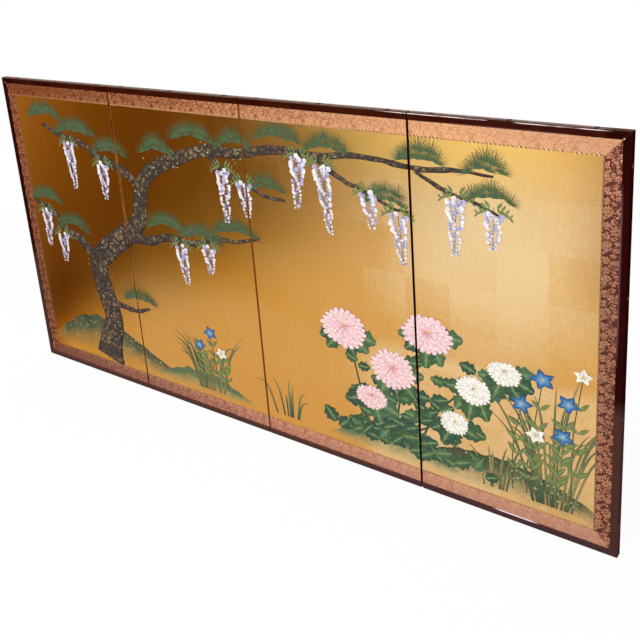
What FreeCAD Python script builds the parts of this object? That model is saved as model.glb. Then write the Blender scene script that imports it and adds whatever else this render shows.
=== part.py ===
"""Four-panel folding screen (byobu), standing opened flat.

Millimetres, +Z up. The origin is the middle of the bottom edge, the picture faces -Y and the
panels are numbered 1 to 4 from -X to +X. Each panel is a light wooden lattice core with paper
glued over both faces. The picture sheet, a brocade border and a narrow woven edging lie on the
front, and lacquered wooden strips are nailed round the outside of the whole screen. Paper hinges
cover the edges of the panels where they meet.
"""

import FreeCAD, Part
import os

import Sketcher

doc = FreeCAD.newDocument("folding_screen")

# Driving sizes in millimetres
SIZES = (
    ("panel_width", 455.4, "one panel, over its frame and its hinge edges"),
    ("panel_height", 914.4, "overall height"),
    ("seam_gap", 2.4, "between the rail ends of two neighbouring panels"),
    ("fold_clearance", 0.4, "from a hinge axis to the face of the frame"),
    ("frame_face", 16.0, "width of the lacquered strips, seen from the front"),
    ("frame_depth", 19.0, "depth of the lacquered strips"),
    ("front_arris", 2.5, "radius of the outer front edge of a strip"),
    ("back_arris", 1.0, "radius of the outer back edge of a strip"),
    ("inner_bevel", 1.4, "bevel of the inner front edge of a strip"),
    ("end_bevel", 0.7, "bevel of a rail's end at a seam"),
    ("picture_recess", 2.2, "from the face of the frame back to the picture"),
    ("back_recess", 1.5, "from the back of the frame in to the back paper"),
    ("picture_thick", 0.4, "silk picture on its lining"),
    ("front_paper_thick", 1.0, "layers of paper under the picture"),
    ("back_paper_thick", 1.0, "layers of paper on the back"),
    ("brocade_width", 31.5, "brocade border"),
    ("brocade_thick", 0.6, "brocade on its lining"),
    ("edging_width", 3.2, "woven strip between brocade and picture"),
    ("edging_thick", 0.9, "woven strip between brocade and picture"),
    ("member_width", 22.0, "core frame members"),
    ("slat_width", 9.0, "lattice slats"),
    ("hinge_lap", 1.6, "hinge paper turned over the front edge, its width"),
    ("hinge_lap_thick", 0.8, "hinge paper turned over the front edge"),
    ("hinge_slip", 0.3, "between the hinge papers of two neighbouring panels"),
    ("hinge_slit", 0.4, "between two strips of hinge paper, one above the other"),
    ("shank_radius", 1.0, "frame nail"),
    ("head_radius", 4.0, "frame nail"),
    ("head_thick", 0.8, "frame nail"),
    ("head_sink", 0.3, "from the edge of the frame down to a nail's head"),
    ("shank_length", 31.0, "frame nail, with its point"),
    ("point_length", 4.0, "frame nail"),
    ("nail_margin", 50.0, "from the end of a core to the first nail"),
    ("nail_room", 0.05, "radial room round a nail"),
    ("overrun", 1.0, "how far a cut runs past the wood"),
)
SLAT_COLUMNS = 2
SLAT_ROWS = 5
HINGE_STRIPS = 6
RAIL_NAILS = 3
STILE_NAILS = 4
PANELS = (1, 2, 3, 4)
FIRST, LAST = PANELS[0], PANELS[-1]
BEFORE_MIDDLE = len(PANELS) // 2
TOLERANCE = 1e-6

sheet = doc.addObject("Spreadsheet::Sheet", "Sizes")
for row, (alias, amount, note) in enumerate(SIZES, start=1):
    sheet.set("A%d" % row, note)
    sheet.set("B%d" % row, str(amount))
    sheet.setAlias("B%d" % row, alias)
doc.recompute()

# Expressions for the sizes that follow from the driving ones; front and back are y values
WIDTH = "Sizes.panel_width"
HEIGHT = "Sizes.panel_height"
FACE = "Sizes.frame_face"
DEPTH = "Sizes.frame_depth"
PITCH = "(Sizes.panel_width + Sizes.seam_gap)"
CORE_HEIGHT = "(Sizes.panel_height - 2 * Sizes.frame_face)"
FRAME_BACK = "(Sizes.frame_depth / 2)"
PAPER_FRONT = "(Sizes.picture_recess + Sizes.picture_thick - Sizes.frame_depth / 2)"
CORE_FRONT = "(%s + Sizes.front_paper_thick)" % PAPER_FRONT
PAPER_BACK = "(Sizes.frame_depth / 2 - Sizes.back_recess)"
CORE_BACK = "(%s - Sizes.back_paper_thick)" % PAPER_BACK
CORE_DEPTH = "(%s - %s)" % (CORE_BACK, CORE_FRONT)
BORDER = "(Sizes.frame_face + Sizes.brocade_width)"
PICTURE_INSET = "(%s + Sizes.edging_width)" % BORDER

nodes = {}


def value(expression):
    """The number that an expression gives now."""
    return float(sheet.evalExpression(str(expression)))


def bind(item, **expressions):
    """Binds an object's properties to expressions; an underscore stands for a dot."""
    for name, expression in expressions.items():
        item.setExpression(name.replace("_", "."), str(expression))
    return item


def put(item, x="0", y="0", z="0"):
    """Places an object at the point that three expressions give."""
    return bind(item, Placement_Base_x=x, Placement_Base_y=y, Placement_Base_z=z)


def name_node(label, item):
    """Names an object as one sub-part of the screen."""
    item.Label = label
    nodes[label] = item
    return item


def box(size, corner):
    """A block of that size (x, y, z) with its lowest corner at that point."""
    made = doc.addObject("Part::Box", "Block")
    bind(made, Length=size[0], Width=size[1], Height=size[2])
    return put(made, *corner)


def group(items):
    """Several solids kept apart in one object."""
    made = doc.addObject("Part::Compound", "Group")
    made.Links = items
    return made


def cut(base, tool):
    """The base with the tool taken away."""
    made = doc.addObject("Part::Cut", "Cut")
    made.Base, made.Tool = base, tool
    return made


def outline(body, plane, corners):
    """A closed outline on one of the body's planes, each corner bound to two expressions."""
    sketch = body.newObject("Sketcher::SketchObject", "Outline")
    origin_planes = body.Origin.OriginFeatures
    sketch.AttachmentSupport = [(next(p for p in origin_planes if p.Role == plane), "")]
    sketch.MapMode = "FlatFace"
    points = [FreeCAD.Vector(value(across), value(up), 0) for across, up in corners]
    following = points[1:] + points[:1]
    for start, end in zip(points, following):
        sketch.addGeometry(Part.LineSegment(start, end))
    for line in range(len(points)):
        next_line = (line + 1) % len(points)
        sketch.addConstraint(Sketcher.Constraint("Coincident", line, 2, next_line, 1))
    for line, (point, corner) in enumerate(zip(points, corners)):
        for kind, distance, expression in zip(("DistanceX", "DistanceY"), point, corner):
            rule = Sketcher.Constraint(kind, -1, 1, line, 1, distance)
            index = sketch.addConstraint(rule)
            sketch.setExpression("Constraints[%d]" % index, expression)
    return sketch


def feature(body, kind, **expressions):
    """A feature of a body with its sizes bound to expressions."""
    made = body.newObject("PartDesign::" + kind, kind)
    return bind(made, **expressions)


def plate(corners, thickness, corner):
    """A flat piece cut to an outline of (x, z) corners; corner is its back lower left one."""
    body = doc.addObject("PartDesign::Body", "Plate")
    pad = feature(body, "Pad", Length=thickness)
    pad.Profile = outline(body, "XZ_Plane", corners)
    doc.recompute()
    return put(body, *corner)


def edges_at(shape, **places):
    """Names of the edges that lie wholly at the given places, such as y=0 or x=12."""
    found = []
    for number, edge in enumerate(shape.Edges, start=1):
        ends = [v.Point for v in edge.Vertexes]
        if all(abs(getattr(p, axis) - place) < TOLERANCE for p in ends for axis, place in places.items()):
            found.append("Edge%d" % number)
    return found


def ease(body, kind, size_name, size, **places):
    """Rounds (Fillet) or bevels (Chamfer) the edges of a body that lie at the given places."""
    base = body.Tip
    names = edges_at(base.Shape, **places)
    made = feature(body, kind, **{size_name: size})
    made.Base = (base, names)
    doc.recompute()
    return made


# Places along the screen, as expressions


def left_of(panel):
    """Left end of a panel."""
    return "(%d * %s + Sizes.seam_gap / 2)" % (panel - 1 - BEFORE_MIDDLE, PITCH)


def core_left(panel):
    return "(%s + %s)" % (left_of(panel), FACE if panel == FIRST else "0")


def core_width(panel):
    return "(%s - %s)" % (WIDTH, FACE if panel in (FIRST, LAST) else "0")


# A border is a ring round the whole screen: frame, brocade or edging. A ring has an inset from
# the outside of the screen, a width, and a seam inset where it stops at a seam. The strips of a
# ring meet in mitres at the four corners of the screen.


def border_strip(panel, side, inset, width, seam_inset, back, thickness):
    """The part of a ring that lies along one side of a panel."""
    tall = "(%s - 2 * %s)" % (HEIGHT, inset)
    if side == "left":
        corners = (("0", "0"), (width, width), (width, "%s - %s" % (tall, width)), ("0", tall))
        return plate(corners, thickness, ("%s + %s" % (left_of(panel), inset), back, inset))
    if side == "right":
        corners = (("0", width), (width, "0"), (width, tall), ("0", "%s - %s" % (tall, width)))
        x = "%s + %s - %s - %s" % (left_of(panel), WIDTH, inset, width)
        return plate(corners, thickness, (x, back, inset))
    start = inset if panel == FIRST else seam_inset
    end = inset if panel == LAST else seam_inset
    length = "(%s - %s - %s)" % (WIDTH, start, end)
    long_ends = ("0", length)
    short_ends = (
        width if panel == FIRST else "0",
        "%s - %s" % (length, width) if panel == LAST else length,
    )
    low, high = (short_ends, long_ends) if side == "top" else (long_ends, short_ends)
    corners = ((low[0], "0"), (low[1], "0"), (high[1], width), (high[0], width))
    z = "%s - %s - %s" % (HEIGHT, inset, width) if side == "top" else inset
    return plate(corners, thickness, ("%s + %s" % (left_of(panel), start), back, z))


def sides_of(panel):
    """The sides of a panel that lie on the outside of the screen."""
    ends = {FIRST: ("left",), LAST: ("right",)}
    return ("top", "bottom") + ends.get(panel, ())


# Frame nails: a round head and a pointed shank, driven through a strip into the core


def turned(profile):
    """A solid turned from a half section of (radius, height) corners about its own z axis."""
    body = doc.addObject("PartDesign::Body", "Turned")
    revolution = feature(body, "Revolution")
    sketch = outline(body, "XZ_Plane", profile)
    revolution.Profile = sketch
    revolution.ReferenceAxis = (sketch, ["V_Axis"])
    doc.recompute()
    return body


NAIL_LENGTH = "(Sizes.shank_length + Sizes.head_thick)"
NAIL_Y = "((%s + %s) / 2)" % (CORE_FRONT, CORE_BACK)
HEAD_DIRECTIONS = {
    "top": FreeCAD.Rotation(),
    "bottom": FreeCAD.Rotation(FreeCAD.Vector(1, 0, 0), 180),
    "left": FreeCAD.Rotation(FreeCAD.Vector(0, 1, 0), -90),
    "right": FreeCAD.Rotation(FreeCAD.Vector(0, 1, 0), 90),
}


def nail_solid(side, place, room, head_top):
    """A nail, or the hole for one: room is added to its radii, and head_top is its full length."""
    shank, head = ("(Sizes.%s + %s)" % (name, room) for name in ("shank_radius", "head_radius"))
    profile = (
        ("0", "0"),
        (shank, "Sizes.point_length"),
        (shank, "Sizes.shank_length"),
        (head, "Sizes.shank_length"),
        (head, head_top),
        ("0", head_top),
    )
    body = turned(profile)
    body.Placement = FreeCAD.Placement(FreeCAD.Vector(), HEAD_DIRECTIONS[side])
    return put(body, *place)


def nail_points(panel, side):
    """Where the points of the nails of one side lie."""
    reach = "(Sizes.head_sink + %s)" % NAIL_LENGTH
    along_rail = side in ("top", "bottom")
    start = core_left(panel) if along_rail else FACE
    span = core_width(panel) if along_rail else CORE_HEIGHT
    count = RAIL_NAILS if along_rail else STILE_NAILS
    step = "((%s - 2 * Sizes.nail_margin) / %d)" % (span, count - 1)
    inward = {
        "top": "%s - %s" % (HEIGHT, reach),
        "bottom": reach,
        "left": "%s + %s" % (left_of(panel), reach),
        "right": "%s + %s - %s" % (left_of(panel), WIDTH, reach),
    }[side]
    for number in range(count):
        along = "%s + Sizes.nail_margin + %d * %s" % (start, number, step)
        yield (along, NAIL_Y, inward) if along_rail else (inward, NAIL_Y, along)


def nails_and_holes(panel, side):
    """The nails of one side of a panel, and the holes that they need."""
    past_edge = "(%s + Sizes.head_sink + Sizes.overrun)" % NAIL_LENGTH
    points = list(nail_points(panel, side))
    nails = [nail_solid(side, place, "0", NAIL_LENGTH) for place in points]
    holes = [nail_solid(side, place, "Sizes.nail_room", past_edge) for place in points]
    return nails, holes


# Lacquered frame strips, with a rounded outer edge and a bevelled inner one

STRIP_NAMES = {"left": "left_stile", "right": "right_stile"}


def frame_strip(panel, side, holes):
    """One lacquered strip, its edges eased and its nail holes cut."""
    strip = border_strip(panel, side, "0", FACE, "0", FRAME_BACK, DEPTH)
    axis = "z" if side in ("top", "bottom") else "x"
    face, depth = value(FACE), value(DEPTH)
    outer, inner = (face, 0.0) if side in ("top", "right") else (0.0, face)
    ease(strip, "Fillet", "Radius", "Sizes.front_arris", y=-depth, **{axis: outer})
    ease(strip, "Fillet", "Radius", "Sizes.back_arris", y=0.0, **{axis: outer})
    ease(strip, "Chamfer", "Size", "Sizes.inner_bevel", y=-depth, **{axis: inner})
    if axis == "z":
        seam_ends = {FIRST: (value(WIDTH),), LAST: (0.0,)}.get(panel, (0.0, value(WIDTH)))
        for x in seam_ends:
            ease(strip, "Chamfer", "Size", "Sizes.end_bevel", x=x)
    label = STRIP_NAMES.get(side, "%s_rail_%d" % (side, panel))
    return name_node(label, cut(strip, group(holes)))


# Wooden core under the papers


def core_frame(panel, holes):
    """Two upright members with two cross members between them."""
    x, wide = core_left(panel), core_width(panel)
    member = "Sizes.member_width"
    upright = (member, CORE_DEPTH, CORE_HEIGHT)
    across = ("%s - 2 * %s" % (wide, member), CORE_DEPTH, member)
    members = [
        box(upright, (x, CORE_FRONT, FACE)),
        box(upright, ("%s + %s - %s" % (x, wide, member), CORE_FRONT, FACE)),
        box(across, ("%s + %s" % (x, member), CORE_FRONT, FACE)),
        box(across, ("%s + %s" % (x, member), CORE_FRONT, "%s - %s - %s" % (HEIGHT, FACE, member))),
    ]
    name_node("core_frame_%d" % panel, cut(group(members), group(holes)))


def core_lattice(panel):
    """Thin slats both ways, halved into each other where they cross."""
    member, slat = "Sizes.member_width", "Sizes.slat_width"
    left = "(%s + %s)" % (core_left(panel), member)
    low = "(%s + %s)" % (FACE, member)
    wide = "(%s - 2 * %s)" % (core_width(panel), member)
    tall = "(%s - 2 * %s)" % (CORE_HEIGHT, member)
    column_step = "((%s - %d * %s) / %d + %s)" % (wide, SLAT_COLUMNS, slat, SLAT_COLUMNS + 1, slat)
    row_step = "((%s - %d * %s) / %d + %s)" % (tall, SLAT_ROWS, slat, SLAT_ROWS + 1, slat)
    half = "%s / 2" % CORE_DEPTH
    middle = "(%s + %s)" % (CORE_FRONT, half)

    def columns(depth, y):
        places = ["%s + %d * %s - %s" % (left, n, column_step, slat) for n in range(1, SLAT_COLUMNS + 1)]
        return group([box((slat, depth, tall), (x, y, low)) for x in places])

    def rows(depth, y):
        places = ["%s + %d * %s - %s" % (low, n, row_step, slat) for n in range(1, SLAT_ROWS + 1)]
        return group([box((wide, depth, slat), (left, y, z)) for z in places])

    uprights = cut(columns(CORE_DEPTH, CORE_FRONT), rows(half, middle))
    crosswise = cut(rows(CORE_DEPTH, CORE_FRONT), columns(half, CORE_FRONT))
    name_node("core_lattice_%d" % panel, group([uprights, crosswise]))


# Papers, picture and borders


def papers(panel):
    """The paper layers that cover the core, front and back."""
    x, wide = core_left(panel), core_width(panel)
    front = box((wide, "Sizes.front_paper_thick", CORE_HEIGHT), (x, PAPER_FRONT, FACE))
    back = box((wide, "Sizes.back_paper_thick", CORE_HEIGHT), (x, CORE_BACK, FACE))
    name_node("front_paper_%d" % panel, front)
    name_node("back_paper_%d" % panel, back)


def picture(panel):
    """The silk picture inside the borders, as far as the hinge papers at the seams."""
    start = PICTURE_INSET if panel == FIRST else "Sizes.hinge_lap"
    end = PICTURE_INSET if panel == LAST else "Sizes.hinge_lap"
    wide = "%s - %s - %s" % (WIDTH, start, end)
    tall = "%s - 2 * %s" % (HEIGHT, PICTURE_INSET)
    y = "%s - Sizes.picture_thick" % PAPER_FRONT
    corner = ("%s + %s" % (left_of(panel), start), y, PICTURE_INSET)
    name_node("picture_%d" % panel, box((wide, "Sizes.picture_thick", tall), corner))


def borders(panel):
    """Brocade and edging along the outer sides of a panel."""
    lap = "Sizes.hinge_lap"
    edging = []
    for side in sides_of(panel):
        label = "brocade_%s" % side if side in STRIP_NAMES else "brocade_%s_%d" % (side, panel)
        brocade = (FACE, "Sizes.brocade_width", lap, PAPER_FRONT, "Sizes.brocade_thick")
        name_node(label, border_strip(panel, side, *brocade))
        narrow = (BORDER, "Sizes.edging_width", lap, PAPER_FRONT, "Sizes.edging_thick")
        edging.append(border_strip(panel, side, *narrow))
    name_node("edging_%d" % panel, group(edging))


# Hinge papers: strips pasted one above the other on the edge of a panel at a seam, turned over
# its front edge. The papers of two neighbours almost touch and meet the hinge axis at the seam.

LEAF_THICK = "((Sizes.seam_gap - Sizes.hinge_slip) / 2)"
STRIP_HEIGHT = "((%s - %d * Sizes.hinge_slit) / %d)" % (CORE_HEIGHT, HINGE_STRIPS - 1, HINGE_STRIPS)


def hinge_papers(panel, side):
    """The strips on one edge of a panel, as an angle section cut by the slits between them."""
    lap, turn = "Sizes.hinge_lap", "Sizes.hinge_lap_thick"
    whole = "(%s + %s)" % (lap, LEAF_THICK)
    deep = "(%s - %s + %s)" % (PAPER_BACK, PAPER_FRONT, turn)
    if side == "right":
        section = (("0", "0"), (whole, "0"), (whole, deep), (lap, deep), (lap, turn), ("0", turn))
        x = "%s + %s - %s" % (left_of(panel), WIDTH, lap)
    else:
        leaf = LEAF_THICK
        section = (("0", "0"), (whole, "0"), (whole, turn), (leaf, turn), (leaf, deep), ("0", deep))
        x = "%s - %s" % (left_of(panel), leaf)
    body = doc.addObject("PartDesign::Body", "Leaf")
    pad = feature(body, "Pad", Length=CORE_HEIGHT)
    pad.Profile = outline(body, "XY_Plane", section)
    doc.recompute()
    y = "(%s - %s)" % (PAPER_FRONT, turn)
    put(body, x, y, FACE)
    slits = []
    for number in range(1, HINGE_STRIPS):
        z = "%s + %d * (%s + Sizes.hinge_slit) - Sizes.hinge_slit" % (FACE, number, STRIP_HEIGHT)
        size = ("%s + 2 * Sizes.overrun" % whole, "%s + 2 * Sizes.overrun" % deep, "Sizes.hinge_slit")
        slits.append(box(size, ("%s - Sizes.overrun" % x, "%s - Sizes.overrun" % y, z)))
    name_node("hinge_papers_%d_%s" % (panel, side), cut(body, group(slits)))


for panel in PANELS:
    all_nails, all_holes = [], []
    for side in sides_of(panel):
        nails, holes = nails_and_holes(panel, side)
        frame_strip(panel, side, holes)
        all_nails += nails
        all_holes += holes
    name_node("frame_nails_%d" % panel, group(all_nails))
    core_frame(panel, all_holes)
    core_lattice(panel)
    papers(panel)
    picture(panel)
    borders(panel)
    if panel != FIRST:
        hinge_papers(panel, "left")
    if panel != LAST:
        hinge_papers(panel, "right")

doc.recompute()
for item in doc.Objects:
    if "Invalid" in item.State or "Error" in item.State:
        raise RuntimeError("%s (%s) failed to recompute" % (item.Name, item.Label))
for label, item in nodes.items():
    if item.Shape.isNull() or not item.Shape.isValid() or not item.Shape.Solids:
        raise RuntimeError("%s has no valid solid" % label)

seam_places = [value("%d * %s" % (n - BEFORE_MIDDLE, PITCH)) for n in range(1, len(PANELS))]
print("seams at x", seam_places, "hinge axes at y", value("%s + Sizes.fold_clearance" % FRAME_BACK))
os.makedirs("parts", exist_ok=True)
for label, item in nodes.items():
    item.Shape.exportStep("parts/%s.step" % label)
print(len(nodes), "sub-parts")
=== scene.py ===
"""A four-panel folding screen (byobu) with a painted gold ground, a brocade border and a lacquered
frame, put together in the order in which such a screen is made. Metres, +Z up, picture towards -Y.
"""

import math
import random

import bmesh
import bpy
from mathutils import Matrix, Vector, noise


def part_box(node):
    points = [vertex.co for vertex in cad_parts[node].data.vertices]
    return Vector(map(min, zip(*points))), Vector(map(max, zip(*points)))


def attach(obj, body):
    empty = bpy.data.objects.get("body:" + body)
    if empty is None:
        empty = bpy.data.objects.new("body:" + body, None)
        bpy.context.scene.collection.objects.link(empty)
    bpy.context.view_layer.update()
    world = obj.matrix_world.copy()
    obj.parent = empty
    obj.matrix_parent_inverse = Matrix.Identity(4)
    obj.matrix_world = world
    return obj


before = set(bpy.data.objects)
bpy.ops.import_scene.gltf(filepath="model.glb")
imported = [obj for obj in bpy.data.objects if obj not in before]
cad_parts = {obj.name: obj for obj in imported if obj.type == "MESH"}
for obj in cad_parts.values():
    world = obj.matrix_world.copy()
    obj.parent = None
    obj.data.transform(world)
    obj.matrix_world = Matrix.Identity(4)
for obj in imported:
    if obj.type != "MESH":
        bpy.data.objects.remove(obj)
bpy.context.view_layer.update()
MM = 0.001
PANELS = (1, 2, 3, 4)

# Wooden core: cedar members and halved slats, one lattice to a panel.
# The wood is plain and unpainted, and the papers hide it.


class Signal:
    """What a shader node gives out. Sums and comparisons of signals make Math nodes."""

    def __init__(self, socket):
        self.socket = socket

    def __abs__(self):
        return calc("ABSOLUTE", self)

    def __add__(self, other):
        return calc("ADD", self, other)

    def __sub__(self, other):
        return calc("SUBTRACT", self, other)

    def __rsub__(self, other):
        return calc("SUBTRACT", other, self)

    def __mul__(self, other):
        return calc("MULTIPLY", self, other)

    def __truediv__(self, other):
        return calc("DIVIDE", self, other)

    def __pow__(self, other):
        return calc("POWER", self, other)

    def __lt__(self, other):
        return calc("LESS_THAN", self, other)

    def __gt__(self, other):
        return calc("GREATER_THAN", self, other)


def feed(node, inputs):
    """Gives each of these inputs of a node a number, a colour or a signal."""
    for socket, given in inputs.items():
        if isinstance(given, Signal):
            node.id_data.links.new(given.socket, node.inputs[socket])
        else:
            node.inputs[socket].default_value = given


def new_node(tree, kind, inputs=None, **settings):
    """A new shader node with these settings and inputs."""
    made = tree.nodes.new("ShaderNode" + kind)
    for name, setting in settings.items():
        setattr(made, name, setting)
    feed(made, inputs or {})
    return made


def add(tree, kind, inputs=None, **settings):
    """The signals of a new shader node, by the names of its outputs."""
    made = new_node(tree, kind, inputs, **settings)
    return {output.name: Signal(output) for output in made.outputs}


def tree_of(*given):
    """The node tree that the first signal among these belongs to."""
    return next(value.socket.id_data for value in given if isinstance(value, Signal))


def calc(operation, *terms, clamp=False):
    """The signal of one Math node."""
    inputs = dict(enumerate(terms))
    return add(tree_of(*terms), "Math", inputs, operation=operation, use_clamp=clamp)["Value"]


def ramp(share, *stops):
    """A smooth ramp through (place, colour or grey) stops."""
    made = new_node(tree_of(share), "ValToRGB", {0: share})
    bands = made.color_ramp
    bands.interpolation = "EASE"
    for number, (place, shade) in enumerate(stops):
        stop = bands.elements[number] if number < 2 else bands.elements.new(place)
        stop.position = place
        stop.color = shade if isinstance(shade, tuple) else (shade, shade, shade, 1)
    return Signal(made.outputs[0])


def object_place(tree, stretch=(1, 1, 1)):
    """Object coordinates, in metres, stretched."""
    place = add(tree, "TexCoord")["Object"]
    return add(tree, "Mapping", {"Vector": place, "Scale": stretch})["Vector"]


def grain(place, scale, detail=2.0, roughness=0.5):
    """Noise from 0 to 1 with a scale in features to the metre."""
    inputs = {"Vector": place, "Scale": scale, "Detail": detail, "Roughness": roughness}
    return add(tree_of(place), "TexNoise", inputs)["Fac"]


def relief(height, depth):
    """A bump from a height of 0 to 1 that stands for a depth in metres."""
    inputs = {"Height": height, "Distance": depth, "Strength": 1.0}
    return add(tree_of(height), "Bump", inputs)["Normal"]


def surface(shader, base, height, depth):
    """Gives a shader its colour, and a relief from a height of 0 to 1 and a depth in metres."""
    feed(shader, {"Base Color": base, "Normal": relief(height, depth)})


def material(name, **sockets):
    """A new material, its node tree and its Principled shader with these sockets set."""
    made = bpy.data.materials.new(name)
    made.use_nodes = True
    shader = made.node_tree.nodes["Principled BSDF"]
    feed(shader, {socket.replace("_", " "): given for socket, given in sockets.items()})
    return made, made.node_tree, shader


def colour(red, green, blue):
    """An sRGB colour, each part from 0 to 255, as the linear colour that a shader takes."""
    parts = [c / 255 for c in (red, green, blue)]
    return (*[c / 12.92 if c < 0.04045 else ((c + 0.055) / 1.055) ** 2.4 for c in parts], 1)


def dress(finish, slot, *names):
    """Gives CAD nodes a material; the slot is not used. A name with %d stands for all panels."""
    for name in names:
        for node in [name % panel for panel in PANELS] if "%d" in name else [name]:
            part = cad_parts[node]
            part.data.materials.clear()
            part.data.materials.append(finish)


CEDAR_PALE, CEDAR_DARK = colour(205, 170, 122), colour(163, 118, 74)

cedar, tree, shader = material("cedar", Roughness=0.62)
rings = grain(object_place(tree, (9, 9, 1)), 14, 5.0, 0.6)
surface(shader, ramp(rings, (0.35, CEDAR_PALE), (0.7, CEDAR_DARK)), rings, 0.2 * MM)
dress(cedar, "core_wood", "core_frame_%d", "core_lattice_%d")

# Papers: layers of mulberry paper under the picture, and a printed paper on the back.
# The back is a muted brown with linked rings in pale mica, a common pattern for screens.

LINING_PALE, LINING_DARK = colour(232, 222, 200), colour(205, 190, 160)
BACK_GROUND, BACK_DARK, MICA = colour(88, 70, 48), colour(62, 47, 32), colour(134, 116, 86)
RING_RADIUS = 24 * MM
RING_LINE = 0.9 * MM


def split(place):
    """The x, y and z of a vector."""
    return add(tree_of(place), "SeparateXYZ", {0: place}).values()


def distance(across, up):
    """How far a point at these two distances lies from the origin."""
    return calc("SQRT", across ** 2 + up ** 2)


def blend_of(share, first, second, mode="MIX"):
    """Two colours mixed by a share from 0 to 1."""
    inputs = {0: share, 6: first, 7: second}
    mixed = new_node(tree_of(share, first, second), "Mix", inputs, data_type="RGBA", blend_type=mode)
    return Signal(mixed.outputs[2])


def paper_fibres(tree):
    """Long fibres that lie every way in the sheet, from 0 to 1."""
    across = grain(object_place(tree, (1, 1, 5)), 240, 3.0, 0.6)
    upright = grain(object_place(tree, (5, 1, 1)), 260, 3.0, 0.6)
    return calc("MAXIMUM", across, upright)


lining, tree, shader = material("lining_paper", Roughness=0.9)
fibres = paper_fibres(tree)
surface(shader, ramp(fibres, (0.4, LINING_DARK), (0.75, LINING_PALE)), fibres, 0.06 * MM)

printed, tree, shader = material("printed_back_paper", Roughness=0.78)
x, _, z = split(object_place(tree))


def nearest_ring(shift):
    """Distance from the rings whose centres stand two radii apart, moved by a shift."""
    return distance(*[calc("PINGPONG", side + shift, RING_RADIUS) for side in (x, z)])


lines = []
for shift in (0.0, RING_RADIUS):
    lines.append(abs(nearest_ring(shift) - RING_RADIUS * 0.999) < RING_LINE)
ring_print = calc("MAXIMUM", *lines)
fibres = paper_fibres(tree)
rubbed = grain(object_place(tree), 60, 4.0, 0.7)
print_strength = ring_print * ramp(rubbed, (0.38, 0.15), (0.55, 0.8))
ground = ramp(fibres, (0.35, BACK_DARK), (0.8, BACK_GROUND))
surface(shader, blend_of(print_strength, ground, MICA), fibres, 0.05 * MM)
dress(lining, "lining_paper", "front_paper_%d")
dress(printed, "back_paper", "back_paper_%d")

# Picture ground: squares of gold leaf laid edge over edge on silk, then sized.
# The leaf carries a painted reflection: deep ochre towards the upper left, pale in a broad patch at
# the upper right and towards the foot, with a painted brighter band near the top and painted shade
# near the right edge; the silk shows through as a fine weave.

LEAF = 109 * MM
LEAF_LAP, LAP_SHOWS = 1.3 * MM, 0.14
DEEP_GOLD, MID_GOLD, PALE_GOLD = colour(210, 147, 46), colour(214, 161, 86), colour(235, 204, 152)
GOLD_SHEEN_MIDDLE = (0.62, 0.0, 0.67)
GOLD_SHEEN_REACH = 0.89
FOOT_LOW, FOOT_HIGH = 0.345, 0.5
FOOT_LEFT, FOOT_RIGHT = -0.8, 0.7
FOOT_SHEEN_TONES = (0.0, 0.0), (0.3, 0.41), (0.65, 0.46), (0.8, 0.8), (1.0, 0.79)
TOP_SHEEN_GOLD = colour(255, 208, 114)
TOP_LOW, TOP_HIGH, TOP_LEFT, TOP_RIGHT, TOP_FADE, TOP_END = 0.73, 0.86, -0.1, 0.42, 0.62, 0.9
EDGE_FROM, EDGE_TO, EDGE_LOW, EDGE_HIGH, EDGE_SHADE = 0.79, 0.86, 0.45, 0.62, (0.84, 0.83, 0.92, 1)
SEAM_GILT, SEAM_PLACE, SEAM_HALF = colour(255, 206, 132), -0.4578, 4.2 * MM


def share_of(given, start, full, low=0.0, high=1.0, kind="LINEAR"):
    """Runs from low to high, and no further, as a value goes from start to full."""
    inputs = {0: given, 1: start, 2: full, 3: low, 4: high}
    return add(tree_of(given), "MapRange", inputs, interpolation_type=kind)["Result"]


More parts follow.
